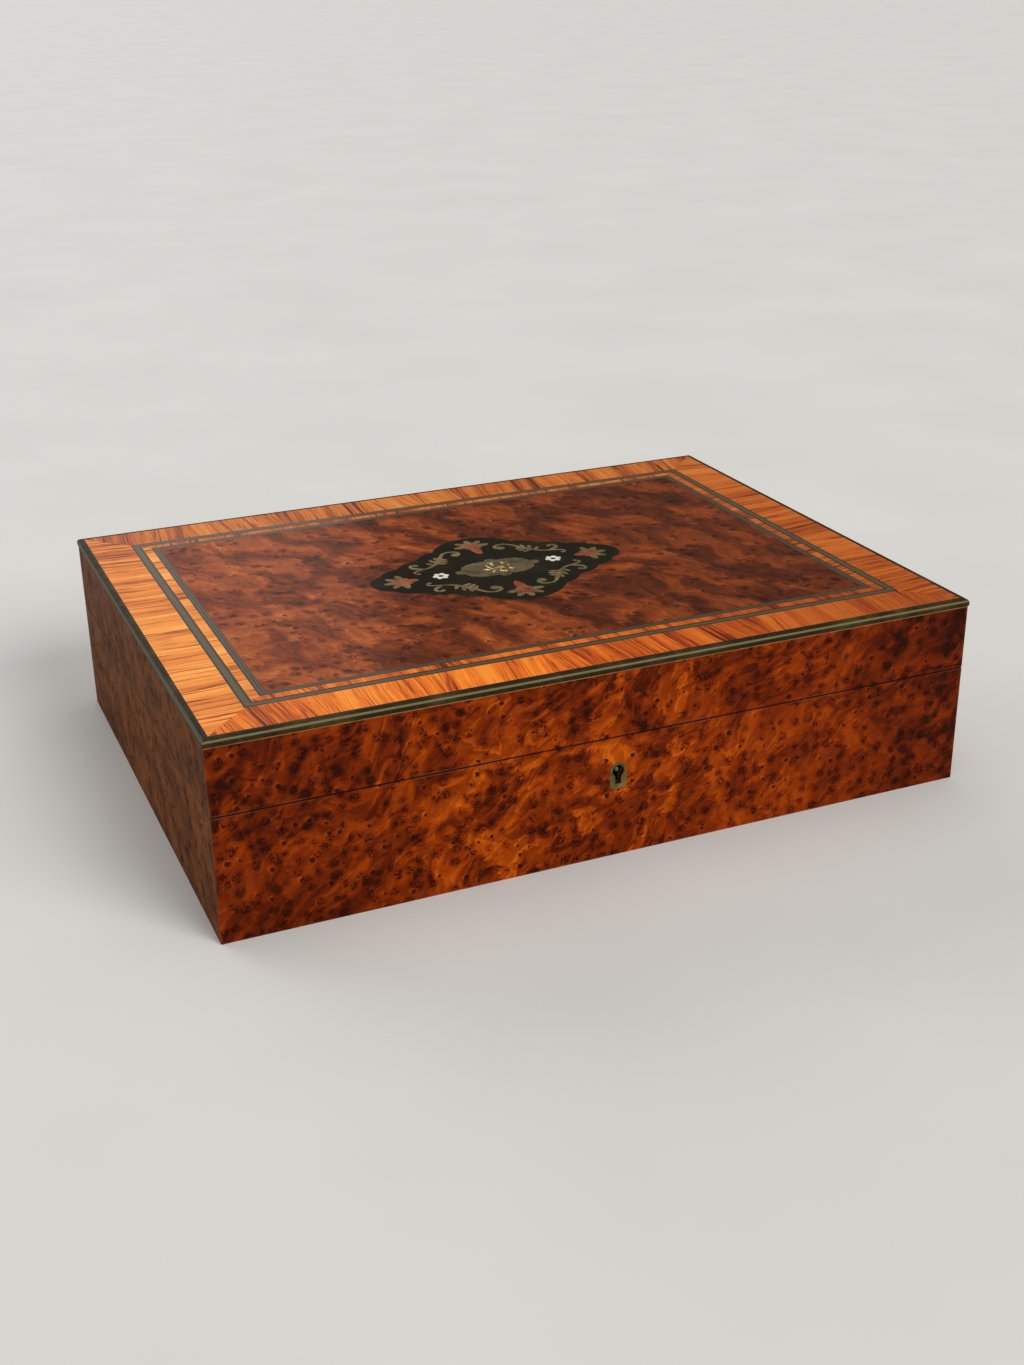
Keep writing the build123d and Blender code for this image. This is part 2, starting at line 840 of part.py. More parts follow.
with BuildPart() as lid_rim_banding:
    for side in sides:
        extrude(mitred_face(side, (board_x, board_y), (room_x, room_y), seam), rim_band)
    cut_link_seat()
    cut_hinge_seats(1)
    cut_screw_holes(upper_hinge_screw_places)
save(lid_rim_banding, "lid_rim_banding")

with BuildPart() as lid_lining:
    block((-cavity_x, cavity_x), (-cavity_y, cavity_y), (lid_board_bottom, top_underside))
    block(
        (-room_x, room_x),
        (-room_y, room_y),
        (lid_board_bottom, top_underside - lining),
        Mode.SUBTRACT,
    )
save(lid_lining, "lid_lining")

# Link plate in the rim of the lid, and the two staples that drop into the lock
with BuildPart() as link_plate:
    cut_depth = (case_front, plate_front)
    block((-half_lock, half_lock), cut_depth, (seam, seam + lock_plate))
    cut_screw_holes(link_screw_places)
save(link_plate, "link_plate")

with BuildPart() as link_staples:
    for centre in (-staple_centre, staple_centre):
        span = (centre - staple_thickness / 2, centre + staple_thickness / 2)
        half_span = staple_span / 2
        block(span, (bolt_y - half_span, bolt_y + half_span), (staple_bottom, seam))
        half_eye = half_span - staple_bar
        block(
            span,
            (bolt_y - half_eye, bolt_y + half_eye),
            (staple_bottom + staple_bar, seam),
            Mode.SUBTRACT,
        )
    lowest = link_staples.edges().group_by(Axis.Z)[0].filter_by(Axis.X)
    fillet(lowest, staple_round)
save(link_staples, "link_staples")

# Edge bead and the pale line under it
with BuildPart() as edge_bead:
    outer = (half_x + bead_proud, half_y + bead_proud)
    for side in sides:
        extrude(mitred_face(side, outer, inset_rectangle(bead_width), bead_bottom), bead_height)
    fillet(outer_edges(edge_bead.edges(), box_height), bead_round)
    fillet(outer_edges(edge_bead.edges(), bead_bottom), bead_lower_round)
save(edge_bead, "edge_bead")

with BuildPart() as line_under_bead:
    for side in sides:
        strip = mitred_face(side, (half_x, half_y), (board_x, board_y), line_bottom)
        extrude(strip, under_bead_line)
save(line_under_bead, "line_under_bead")

# Banding of the lid's top, from the bead inwards
with BuildPart() as crossband:
    outer = inset_rectangle(crossband_inset)
    inner = inset_rectangle(outer_band_inset)
    for side in sides:
        extrude(mitred_face(side, outer, inner, marquetry_bottom), veneer)
    half_joint = glue_line / 2
    for joint in range(1, leaves_long_side):
        x = -outer[0] + joint * 2 * outer[0] / leaves_long_side
        block(
            (x - half_joint, x + half_joint),
            (-outer[1], outer[1]),
            (marquetry_bottom, box_height),
            Mode.SUBTRACT,
        )
    for joint in range(1, leaves_short_side):
        y = -outer[1] + joint * 2 * outer[1] / leaves_short_side
        block(
            (-outer[0], outer[0]),
            (y - half_joint, y + half_joint),
            (marquetry_bottom, box_height),
            Mode.SUBTRACT,
        )
save(crossband, "crossband")

bands = {
    "outer_dark_band": (outer_band_inset, light_line_inset),
    "light_line": (light_line_inset, inner_band_inset),
    "inner_dark_band": (inner_band_inset, field_inset),
}
for name, (start, end) in bands.items():
    with BuildPart() as band:
        for side in sides:
            outer, inner = inset_rectangle(start), inset_rectangle(end)
            extrude(mitred_face(side, outer, inner, marquetry_bottom), veneer)
    save(band, name)

# Cartouche: the flat shapes first, so that each cut fits the piece that fills it
cartouche_outline = scalloped_face(
    cartouche_tip_x, cartouche_tip_y, cartouche_cusps, cartouche_bulge
)
plaque_outline = scalloped_face(plaque_tip_x, plaque_tip_y, plaque_cusps, plaque_bulge)

scroll_stem = [
    (34.3, 5.6),
    (36.2, 7.2),
    (34.2, 9.4),
    (29.6, 10.9),
    (25.0, 13.2),
    (21.8, 16.8),
    (18.9, 21.4),
    (16.0, 25.6),
    (12.6, 27.4),
    (9.2, 25.6),
    (9.0, 22.6),
]
scroll_stem_widths = [0.8, 1.3, 1.3, 1.3, 1.6, 2.2, 2.2, 1.6, 1.2, 1.6, 1.4]
scroll_hook = [(30.2, 11.0), (33.0, 12.8), (34.7, 15.0), (34.0, 17.2), (31.9, 17.4)]
scroll_hook_widths = [1.3, 2.0, 1.8, 1.4, 1.0]
scroll_fronds = [
    (24.2, 13.8, 58, 4.6),
    (22.6, 16.2, 74, 4.9),
    (20.8, 18.6, 88, 4.6),
    (22.4, 15.4, 200, 4.4),
    (20.8, 18.0, 212, 4.6),
    (19.4, 20.6, 226, 4.0),
]
scroll_ends = [(10.9, 22.7, 2.0), (34.2, 6.3, 0.9), (31.9, 16.7, 1.1)]
frond_width = 1.9

with BuildSketch() as scroll_faces:
    add(ribbon_face(scroll_stem, scroll_stem_widths))
    add(ribbon_face(scroll_hook, scroll_hook_widths))
    for x, y, angle, length in scroll_fronds:
        petal((x, y), length, frond_width, angle)
    for x, y, radius in scroll_ends:
        with Locations((x, y)):
            Circle(radius)
    mirror(about=Plane.YZ)
    mirror(about=Plane.XZ)

shell_places = [
    (shell_centre_x, 0, 0, leaf_in_x),
    (0, shell_centre_y, 90, leaf_in_y),
    (-shell_centre_x, 0, 180, leaf_in_x),
    (0, -shell_centre_y, 270, leaf_in_y),
]
with BuildSketch() as leaf_faces:
    for x, y, outward, inward_reach in shell_places:
        tip = (x + leaf_out * cos(radians(outward)), y + leaf_out * sin(radians(outward)))
        petal(tip, leaf_out + inward_reach, leaf_width, outward + 180)
        for turn in leaf_lobe_turns:
            petal((x, y), leaf_width, leaf_lobe_width, outward + turn)

with BuildSketch() as shell_faces:
    for x, y, outward, inward_reach in shell_places:
        for ray in range(shell_rays):
            turn = shell_spread * (ray / (shell_rays - 1) - 0.5)
            petal((x, y), shell_ray_length, shell_ray_width, outward + turn)
        with Locations((x, y)):
            Circle(shell_heart)
    add(leaf_faces.sketch, mode=Mode.SUBTRACT)

with BuildSketch() as flower_faces:
    for side in (-1, 1):
        for index in range(flower_petals):
            angle = index * 360 / flower_petals
            start = petal_ring - petal_length / 2
            centre = (
                side * flower_centre_x + start * cos(radians(angle)),
                start * sin(radians(angle)),
            )
            petal(centre, petal_length, petal_width, angle)

inlays = {
    "cartouche_plaque": plaque_outline,
    "cartouche_scrolls": scroll_faces.sketch,
    "cartouche_shells": shell_faces.sketch,
    "cartouche_leaves": leaf_faces.sketch,
    "cartouche_flowers": flower_faces.sketch,
}
for name, faces in inlays.items():
    with BuildPart() as inlay:
        with BuildSketch(Plane.XY.offset(marquetry_bottom)):
            add(faces)
        extrude(amount=veneer)
    save(inlay, name)

with BuildPart() as cartouche_ground:
    with BuildSketch(Plane.XY.offset(marquetry_bottom)):
        add(cartouche_outline)
        for faces in inlays.values():
            add(faces, mode=Mode.SUBTRACT)
    extrude(amount=veneer)
save(cartouche_ground, "cartouche_ground")

with BuildPart() as burr_top_field:
    field_x, field_y = inset_rectangle(field_inset)
    with BuildSketch(Plane.XY.offset(marquetry_bottom)):
        Rectangle(2 * field_x, 2 * field_y)
        add(cartouche_outline, mode=Mode.SUBTRACT)
    extrude(amount=veneer)
save(burr_top_field, "burr_top_field")
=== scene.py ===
"""Games box: materials, floor, lights and camera. Metres; X runs along the front, Y to the back."""

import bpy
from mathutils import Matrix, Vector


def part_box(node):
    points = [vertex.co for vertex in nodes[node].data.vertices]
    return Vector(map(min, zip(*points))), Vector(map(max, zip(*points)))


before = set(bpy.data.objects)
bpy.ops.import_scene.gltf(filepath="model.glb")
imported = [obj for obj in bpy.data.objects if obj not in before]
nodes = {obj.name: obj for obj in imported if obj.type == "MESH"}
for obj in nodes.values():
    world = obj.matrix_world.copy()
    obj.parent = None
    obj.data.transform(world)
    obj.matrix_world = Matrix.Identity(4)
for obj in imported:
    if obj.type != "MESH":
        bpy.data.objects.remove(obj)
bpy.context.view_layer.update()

from math import cos, radians, sin

import bpy
from mathutils import Matrix, Vector

mm = 0.001


def corner_mm(node):
    """Highest corner of a CAD node, in millimetres."""
    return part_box(node)[1] / mm


# Places that the materials follow, in millimetres
half_x = corner_mm("lid_right_veneer").x
half_y = corner_mm("lid_back_veneer").y
seam = corner_mm("base_front_veneer").z
crossband_edge = corner_mm("crossband")
outer_band_edge = corner_mm("outer_dark_band")
light_line_edge = corner_mm("light_line")
inner_band_edge = corner_mm("inner_dark_band")
field_edge = corner_mm("burr_top_field")
leaves_long_side = 7
leaves_short_side = 5


def srgb(red, green, blue):
    """A colour given from 0 to 255 as a screen shows it, as Blender's linear colour."""

    def linear(value):
        value /= 255
        return value / 12.92 if value <= 0.04045 else ((value + 0.055) / 1.055) ** 2.4

    return (linear(red), linear(green), linear(blue), 1.0)


class Shader:
    """A material being built. Each method adds one node and gives back its output."""

    def __init__(self, name):
        self.material = bpy.data.materials.new(name)
        self.material.use_nodes = True
        self.tree = self.material.node_tree
        self.tree.nodes.clear()
        self.surface = self.tree.nodes.new("ShaderNodeBsdfPrincipled")
        output = self.tree.nodes.new("ShaderNodeOutputMaterial")
        self.tree.links.new(self.surface.outputs["BSDF"], output.inputs["Surface"])
        self.place = self.vector("SCALE", self.add("TexCoord", {}, "Object"), scale=1 / mm)
        self.x, self.y, self.z = self.split(self.place)

    def feed(self, socket, value):
        """Links an output to a socket, or sets the socket to a number, vector or colour."""
        if isinstance(value, bpy.types.NodeSocket):
            self.tree.links.new(value, socket)
        else:
            socket.default_value = value

    def add(self, kind, inputs, output=0, **settings):
        node = self.tree.nodes.new("ShaderNode" + kind)
        for name, value in settings.items():
            setattr(node, name, value)
        for socket, value in inputs.items():
            self.feed(node.inputs[socket], value)
        return node.outputs[output]

    def finish(self, **sockets):
        """Sets the surface's sockets, named in small letters with underscores."""
        names = {socket.name.lower().replace(" ", "_"): socket for socket in self.surface.inputs}
        for name, value in sockets.items():
            self.feed(names[name], value)
        return self.material

    def math(self, operation, *values):
        return self.add("Math", dict(enumerate(values)), operation=operation)

    def total(self, *values):
        result = values[0]
        for value in values[1:]:
            result = self.math("ADD", result, value)
        return result

    def times(self, first, second):
        return self.math("MULTIPLY", first, second)

    def inverse(self, value):
        """One minus a value."""
        return self.math("SUBTRACT", 1, value)

    def vector(self, operation, *values, scale=1.0):
        inputs = dict(enumerate(values))
        if operation == "SCALE":
            inputs["Scale"] = scale
        return self.add("VectorMath", inputs, operation=operation)

    def split(self, vector):
        return [self.add("SeparateXYZ", {0: vector}, axis) for axis in "XYZ"]

    def join(self, x, y, z=0.0):
        return self.add("CombineXYZ", {0: x, 1: y, 2: z})

    def noise(self, place, size, detail=3.0, roughness=0.5, distortion=0.0, output="Fac"):
        """Noise between 0 and 1 whose main features are about size apart."""
        inputs = {
            "Vector": place,
            "Scale": 1 / size,
            "Detail": detail,
            "Roughness": roughness,
            "Distortion": distortion,
        }
        return self.add("TexNoise", inputs, output)

    def warp(self, place, size, amount, detail=1.0):
        """A place pushed about by noise."""
        push = self.noise(place, size, detail, output="Color")
        push = self.vector("SUBTRACT", push, (0.5, 0.5, 0.5))
        return self.vector("ADD", place, self.vector("SCALE", push, scale=2 * amount))

    def cells(self, place, size):
        """Distance to the nearest of scattered points, and that point's two random values."""
        node = self.tree.nodes.new("ShaderNodeTexVoronoi")
        node.voronoi_dimensions = "2D"
        self.feed(node.inputs["Vector"], place)
        self.feed(node.inputs["Scale"], 1 / size)
        first, second, _ = self.split(node.outputs["Color"])
        return self.times(node.outputs["Distance"], size), first, second

    def step(self, value, low, high):
        """Rises smoothly from 0 to 1 as the value goes from low to high."""
        inputs = {"Value": value, "From Min": low, "From Max": high}
        return self.add("MapRange", inputs, interpolation_type="SMOOTHSTEP")

    def fall(self, value, low, high):
        """Falls smoothly from 1 to 0 as the value goes from low to high."""
        return self.inverse(self.step(value, low, high))

    def near(self, value, centre, inner, outer):
        """Is 1 up to a distance from the centre, and falls to 0 at a larger one."""
        distance = self.math("ABSOLUTE", self.math("SUBTRACT", value, centre))
        return self.fall(distance, inner, outer)

    def ripple(self, value, rate):
        """Swings between 0 and 1 as the value grows."""
        return self.math("ABSOLUTE", self.math("SINE", self.times(value, rate)))

    def deviation(self, value, weight):
        """How far a value lies from a half, times a weight."""
        return self.times(self.math("SUBTRACT", value, 0.5), weight)

    def ramp(self, value, stops):
        """A colour, or a shade of grey for plain numbers, read from (position, colour) stops."""
        node = self.tree.nodes.new("ShaderNodeValToRGB")
        elements = node.color_ramp.elements
        while len(elements) < len(stops):
            elements.new(0.5)
        for element, (position, colour) in zip(elements, stops):
            element.position = position
            element.color = colour if isinstance(colour, tuple) else (colour, colour, colour, 1)
        self.feed(node.inputs["Fac"], value)
        return node.outputs["Color"]

    def along(self, value, low, high, stops):
        """A number that follows stops set from low to high along a value."""
        share = self.add("MapRange", {"Value": value, "From Min": low, "From Max": high})
        return self.ramp(share, stops)

    def mix(self, share, first, second, blend_type="MIX"):
        inputs = {"Factor": share, 6: first, 7: second}
        return self.add("Mix", inputs, 2, data_type="RGBA", blend_type=blend_type)

    def choose(self, share, first, second):
        """A number that goes from the first to the second."""
        return self.add("Mix", {"Factor": share, 2: first, 3: second}, data_type="FLOAT")

    def bump(self, height, depth):
        """A normal from a height between 0 and 1 and the depth in millimetres."""
        return self.add("Bump", {"Height": height, "Distance": depth * mm})

    def edge_distances(self):
        """Distances of a place inwards from the ends and from the front or back."""
        from_end = self.math("SUBTRACT", half_x, self.math("ABSOLUTE", self.x))
        from_face = self.math("SUBTRACT", half_y, self.math("ABSOLUTE", self.y))
        return from_end, from_face


# Colour of rubbed veneer, also used as a painted highlight along the edges
rubbed_and_highlit_veneer = srgb(134, 74, 44)
# Painted shade for the gap between lid and base
seam_painted_shade = srgb(26, 9, 4)


def edge_marks(s, colour, wear_and_highlight):
    """Lightens the veneer along corners, foot and seam as wear and painted highlight, and darkens
    the seam with painted shade.
    """
    from_end, from_face = s.edge_distances()
    corner = s.math("MAXIMUM", from_end, from_face)
    from_seam = s.math("ABSOLUTE", s.math("SUBTRACT", s.z, seam))
    nearest = s.math("MINIMUM", corner, s.math("MINIMUM", s.total(from_seam, -0.25), s.z))
    ragged = s.total(nearest, s.times(s.noise(s.place, 4.0, 4), -0.9))
    patches = s.step(s.noise(s.place, 22.0, 2), 0.4, 0.62)
    # Wear and painted highlight: the veneer is lighter along its corners, foot and seam
    rubbed = s.times(s.fall(ragged, -0.15, 0.3), s.times(patches, wear_and_highlight))
    colour = s.mix(rubbed, colour, rubbed_and_highlit_veneer)
    # Painted shade: a dark line along the seam between lid and base
    seam_shade = s.fall(s.total(from_seam, s.times(s.noise(s.place, 3.0, 3), -0.3)), 0.06, 0.32)
    return s.mix(s.times(seam_shade, 0.92), colour, seam_painted_shade)


def burr_figure(s, sheet, look):
    """The figure's streaks, patches and flames, summed round nought, and its streaks alone."""
    # The figure leans: it is drawn in a turned frame. Short streaks follow the lean
    lean = {"Vector": sheet, "Angle": -look["lean"]}
    turned = s.add("VectorRotate", lean, rotation_type="Z_AXIS")
    hair_x, hair_y, _ = s.split(s.warp(s.warp(turned, 13.0, 6.0, 1), 3.2, 0.9, 1))
    feather = s.noise(s.join(s.times(hair_x, 0.3), s.times(hair_y, 1.2)), 1.0, 3, 0.65)
    fleck = s.noise(s.join(s.times(hair_x, 0.2), s.times(hair_y, 0.5), 7.0), 1.0, 3, 0.65)

    # The streaks comb out the edges of the dark patches and flames
    bends = s.warp(s.warp(turned, 46.0, 17.0, 1), 13.0, 3.8, 1)
    comb = s.total(s.deviation(feather, 1.0), s.deviation(fleck, 0.7))
    comb = s.join(s.times(comb, look["comb"]), 0.0)
    stretched = s.vector("MULTIPLY", s.warp(bends, 3.4, 0.6, 1), (0.62, 1.0, 1.0))
    flow = s.vector("SCALE", s.vector("ADD", stretched, comb), scale=1 / look["scale"])

    # Flames and licks have one sharp edge and fade away from it
    flame = s.math("FRACT", s.times(s.noise(flow, 17.0, 2, 0.45), 5.5))
    lick = s.math("FRACT", s.times(s.noise(flow, 7.0, 3, 0.5), 4.0))
    parts = {
        "patch": s.step(s.noise(flow, 15.0, 3, 0.5), 0.42, 0.58),
        "flame": s.along(flame, 0, 1, [(0, 0), (0.07, 0.8), (0.16, 1), (0.5, 0.55), (1, 0.04)]),
        "lick": s.along(lick, 0, 1, [(0, 0), (0.12, 0.8), (0.26, 1), (0.6, 0.5), (1, 0.1)]),
        "cloud": s.noise(flow, 9.0, 3, 0.5),
        "feather": feather,
        "fleck": fleck,
        "pores": s.noise(sheet, 0.5, 2, 0.6),
    }
    figure = 0.0
    for part, value in parts.items():
        figure = s.total(s.deviation(value, look[part]), figure)
    return figure, feather


eye_spacing = 5.4
group_spacing = 5.8
group_dot_spacing = 1.15


def burr_eyes(s, sheet, crowd, look):
    """The eyes' dots, alone or in groups, and what they add to the tone round them."""
    bent = s.warp(sheet, 1.3, 0.6, 2)

    def eyes_at(shift, spacing, share):
        """Distance to eyes that are kept at random, whether kept, and a random size."""
        distance, pick, girth = s.cells(s.vector("ADD", bent, (shift, shift, 0.0)), spacing)
        return distance, s.math("LESS_THAN", pick, s.times(crowd, share)), girth

    # Lone eyes: a dot in a darker spot, lit on one side
    distance, kept, girth = eyes_at(0.0, eye_spacing, look["lone_eyes"])
    size = s.total(0.2, s.times(s.times(girth, girth), 0.75))
    alone = s.times(s.times(kept, s.fall(distance, size, s.total(size, 0.5))), 0.9)
    lit_side = s.cells(s.vector("ADD", bent, (0.55, -0.5, 0.0)), eye_spacing)[0]
    lit = s.times(kept, s.fall(lit_side, size, s.total(size, 1.1)))
    spot = s.times(s.fall(distance, 0.4, 1.5), kept)

    # Groups: small dots within reach of a middle, with fine rings round it
    middle, knot, breadth = eyes_at(50.0, group_spacing, look["eye_groups"])
    reach = s.total(0.5, s.times(breadth, 1.1))
    grain, filled, _ = s.cells(s.vector("ADD", bent, (90.0, 20.0, 0.0)), group_dot_spacing)
    within = s.times(s.fall(middle, reach, s.total(reach, 0.6)), knot)
    many = s.times(s.fall(grain, 0.3, 0.52), s.times(s.math("LESS_THAN", filled, 0.75), within))
    near = s.times(s.fall(middle, reach, s.total(reach, 1.8)), knot)
    rings = s.times(s.math("SINE", s.times(middle, 7.0)), near)

    dots = s.math("MAXIMUM", alone, s.times(many, 0.95))
    shades = [s.times(near, -0.18), s.times(rings, 0.07), s.times(spot, -0.1), s.times(lit, 0.22)]
    return dots, shades


def burr(name, across, up, seed, tones, brightness, eyes, look, wear_and_highlight=0.35, gloss=0.4):
    """Polished burr veneer on the plane of two axes, across and up.

    Brightness and eyes are stops along the sheet's length. The look gives the figure's lean and
    scale, the weights of its parts and how many eyes it has.
    """
    s = Shader(name)
    axes = {"x": s.x, "y": s.y, "z": s.z}
    length = {"x": half_x, "y": half_y}[across]
    sheet = s.join(s.total(axes[across], seed), s.total(axes[up], 3.7 * seed))

    figure, feather = burr_figure(s, sheet, look)
    contrast = s.along(axes[across], -length, length, look["contrast"])
    # On the front and the top, the brightness stops hold painted light
    tone = s.along(axes[across], -length, length, brightness)
    tone = s.total(tone, s.times(s.math("GREATER_THAN", s.z, seam), look["lid_tone"]))
    tone = s.total(tone, s.times(figure, contrast))

    crowd = s.along(axes[across], -length, length, eyes)
    crowd = s.times(crowd, s.along(s.noise(sheet, 19.0, 2), 0.35, 0.6, [(0, 0.45), (1, 1.25)]))
    dots, shades = burr_eyes(s, sheet, crowd, look)
    colour = s.mix(dots, s.ramp(s.total(tone, *shades), tones), look["eye_colour"])

    sink = s.total(s.times(dots, -0.5), s.times(feather, 0.25), s.noise(sheet, 11.0, 2))
    return s.finish(
        base_color=edge_marks(s, colour, wear_and_highlight),
        roughness=s.along(s.noise(s.place, 30.0, 4, 0.6), 0.3, 0.7, [(0, 0.3), (1, 0.42)]),
        specular_ior_level=0.0,
        coat_weight=gloss,
        coat_ior=1.22,
        coat_roughness=0.17,
        normal=s.bump(sink, 0.035),
    )


front_look = {
    "lean": radians(38),
    "scale": 0.8,
    "comb": 5.5,
    "lid_tone": -0.05,
    "contrast": [(0, 0.5), (0.15, 0.6), (0.3, 0.9), (0.6, 0.9), (0.72, 0.6), (1, 0.55)],
    "patch": 0.4,
    "flame": 0.34,
    "lick": 0.22,
    "cloud": 0.6,
    "feather": 0.5,
    "fleck": 0.35,
    "pores": 0.25,
    "lone_eyes": 0.3,
    "eye_groups": 1.0,
    "eye_colour": srgb(36, 8, 2),
}
side_look = {**front_look, "contrast": [(0, 0.6), (1, 0.6)]}
top_look = {
    "lean": radians(118),
    "scale": 1.3,
    "comb": 8.0,
    "lid_tone": 0.0,
    "contrast": [(0, 0.8), (0.5, 0.9), (0.7, 0.75), (1, 0.65)],
    "patch": 0.36,
    "flame": 0.2,
    "lick": 0.14,
    "cloud": 0.6,
    "feather": 0.5,
    "fleck": 0.45,
    "pores": 0.25,
    "lone_eyes": 0.15,
    "eye_groups": 0.5,
    "eye_colour": srgb(38, 14, 5),
}
front_tones = [
    (0.0, srgb(44, 11, 2)),
    (0.2, srgb(80, 23, 2)),
    (0.42, srgb(112, 37, 2)),
    (0.62, srgb(138, 51, 3)),
    (0.82, srgb(164, 68, 5)),
    (1.0, srgb(196, 94, 16)),
]
# Painted shade: the left side's burr is a darker, greyer copy of the front's tones
shaded_side_tones = [
    (0.0, srgb(60, 28, 12)),
    (0.2, srgb(84, 45, 21)),
    (0.42, srgb(105, 60, 29)),
    (0.62, srgb(121, 71, 35)),
    (0.82, srgb(139, 83, 42)),
    (1.0, srgb(158, 98, 51)),
]
top_tones = [
    (0.0, srgb(40, 15, 6)),
    (0.2, srgb(66, 27, 11)),
    (0.42, srgb(96, 41, 16)),
    (0.62, srgb(128, 58, 22)),
    (0.82, srgb(158, 78, 32)),
    (1.0, srgb(188, 104, 48)),
]
even_light = [(0, 0.42), (0.5, 0.47), (1, 0.42)]
even_eyes = [(0, 0.6), (0.5, 0.45), (1, 0.6)]
# Painted light: the front is brightest in its middle and darker towards its ends
front_light = [
    (0, 0.33),
    (0.13, 0.39),
    (0.26, 0.52),
    (0.55, 0.51),
    (0.8, 0.46),
    (0.9, 0.32),
    (1, 0.22),
]
front_eyes = [(0, 1.0), (0.2, 1.0), (0.32, 0.75), (0.55, 0.65), (0.75, 0.75), (1, 0.8)]
# Painted light: the top is lighter towards its left, where light washes over it
top_light = [(0, 0.64), (0.25, 0.6), (0.5, 0.46), (0.8, 0.4), (1, 0.38)]
top_eyes = [(0, 0.6), (0.3, 0.6), (0.6, 0.4), (1, 0.4)]

burr_front = burr("burr_front", "x", "z", 0.0, front_tones, front_light, front_eyes, front_look)
burr_back = burr("burr_back", "x", "z", 410.0, front_tones, even_light, even_eyes, front_look)
burr_left = burr(
    "burr_left", "y", "z", 730.0, shaded_side_tones, even_light, even_eyes, side_look, gloss=0.12
)
burr_right = burr("burr_right", "y", "z", 950.0, front_tones, even_light, even_eyes, front_look)
burr_top = burr("burr_top", "x", "y", 1300.0, top_tones, top_light, top_eyes, top_look)


band_tones = [
    (0.0, srgb(84, 32, 10)),
    (0.25, srgb(160, 74, 22)),
    (0.5, srgb(218, 124, 46)),
    (0.75, srgb(242, 152, 64)),
    (1.0, srgb(253, 180, 92)),
]
# Painted light along the front: pale at the left, darker towards the right
crossband_painted_front_light = [
    (0.0, srgb(246, 216, 160)),
    (0.45, srgb(240, 196, 132)),
    (0.75, srgb(190, 142, 102)),
    (1.0, srgb(164, 124, 98)),
]


def striped_wood(name, outer_edge, leaves=True):
    """Tulipwood laid across a border, in leaves that differ in tone and lean, with painted light on
    its sides.
    """
    s = Shader(name)
    from_end, from_face = s.edge_distances()
    on_long = s.math("GREATER_THAN", from_end, from_face)
    run = s.choose(on_long, s.y, s.x)
    cross = s.choose(on_long, s.x, s.y)
    far = s.math("GREATER_THAN", cross, 0.0)
    side = s.total(on_long, s.times(far, 2))

    leaf_long = 2 * outer_edge.x / leaves_long_side
    leaf_short = 2 * outer_edge.y / leaves_short_side
    reach = s.choose(on_long, outer_edge.y, outer_edge.x)
    leaf_length = s.choose(on_long, leaf_short, leaf_long)
    leaf = s.math("FLOOR", s.math("DIVIDE", s.total(run, reach), leaf_length))
    seed = s.total(s.times(side, 23.0), s.times(leaf, 7.0 if leaves else 0.0))
    chance = s.add("TexWhiteNoise", {"W": seed}, noise_dimensions="1D")
    slant = s.deviation(chance, 0.34)
    inward = s.math("ABSOLUTE", cross)
    leaning = s.total(run, s.times(inward, slant), s.times(seed, 31.0))
    wavy = s.warp(s.join(leaning, s.times(cross, 0.35), seed), 11.0, 1.4)
    wavy_run, wavy_cross, _ = s.split(wavy)

    def grain(across, lengthways, shift, detail):
        place = s.join(s.times(wavy_run, 1 / across), s.times(wavy_cross, 1 / lengthways), shift)
        return s.noise(place, 1.0, detail, 0.6)

    fine = grain(0.7, 11.0, 0.0, 4)
    broad = grain(6.5, 90.0, 9.0, 2)
    veins = s.near(grain(5.0, 70.0, 21.0, 3), 0.5, 0.006, 0.03)
    veins = s.times(veins, s.step(grain(7.0, 60.0, 35.0, 1), 0.38, 0.6))
    pores = s.fall(grain(0.4, 3.4, 5.0, 1), 0.28, 0.4)
    right_end_painted_shade = s.times(s.inverse(on_long), far)
    back_side_painted_shade = s.times(on_long, far)
    front_side = s.times(on_long, s.inverse(far))

    tone = s.total(
        0.62,
        s.deviation(fine, s.choose(front_side, 1.0, 1.4)),
        s.deviation(broad, s.choose(front_side, 1.2, 1.5)),
        s.deviation(chance, 0.34),
        s.times(veins, s.choose(front_side, -0.5, -0.36)),
        s.times(pores, -0.34),
    )
    colour = s.ramp(tone, band_tones)

    # Painted light and shade: front lighter at the left, right end and back darkened and greyed
    painted_front_tint = s.along(s.x, -half_x, half_x, crossband_painted_front_light)
    colour = s.mix(front_side, colour, painted_front_tint, "MULTIPLY")
    colour = s.mix(right_end_painted_shade, colour, srgb(206, 178, 152), "MULTIPLY")
    colour = s.mix(back_side_painted_shade, colour, srgb(216, 200, 186), "MULTIPLY")

    return s.finish(
        base_color=colour,
        roughness=s.along(fine, 0.2, 0.8, [(0, 0.42), (1, 0.28)]),
        specular_ior_level=0.03,
        coat_weight=0.15,
        coat_ior=1.25,
        coat_roughness=0.17,
        normal=s.bump(s.total(fine, s.times(pores, -0.6)), 0.03),
    )


crossband = striped_wood("crossband", crossband_edge)
light_line = striped_wood("light_line", light_line_edge, leaves=False)


black = srgb(10, 7, 4)
olive = srgb(76, 64, 38)
faded_olive = srgb(104, 90, 58)


